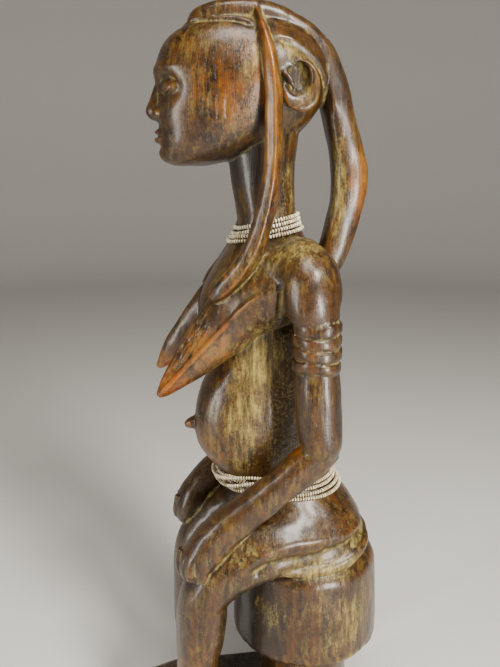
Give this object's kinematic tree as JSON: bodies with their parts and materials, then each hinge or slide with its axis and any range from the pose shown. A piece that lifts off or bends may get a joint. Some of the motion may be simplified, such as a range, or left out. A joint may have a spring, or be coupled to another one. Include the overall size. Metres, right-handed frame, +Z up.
{
  "type": "female ancestor figure",
  "caption": "Carved wooden statue of a seated woman with long tresses and hands on her knees, on a drum-shaped stool and low base, wearing strands of beads at neck and hips.",
  "frame": {"origin": "on the underside of the base, under the axis of the drum-shaped seat", "axes": "+Z up the figure, -Y the way she faces, +X towards her left hand"},
  "size_m": [0.1806, 0.2563, 0.6989],
  "materials": {
    "wood": "satin",
    "beads": "satin"
  },
  "bodies": {
    "root": {"figure": "wood", "neck_strand_1": "beads", "neck_strand_2": "beads", "neck_strand_3": "beads", "neck_strand_4": "beads", "waist_strand_1": "beads", "waist_strand_2": "beads", "waist_strand_3": "beads", "waist_strand_4": "beads", "waist_strand_5": "beads", "waist_strand_6": "beads"}
  },
  "joints": []
}
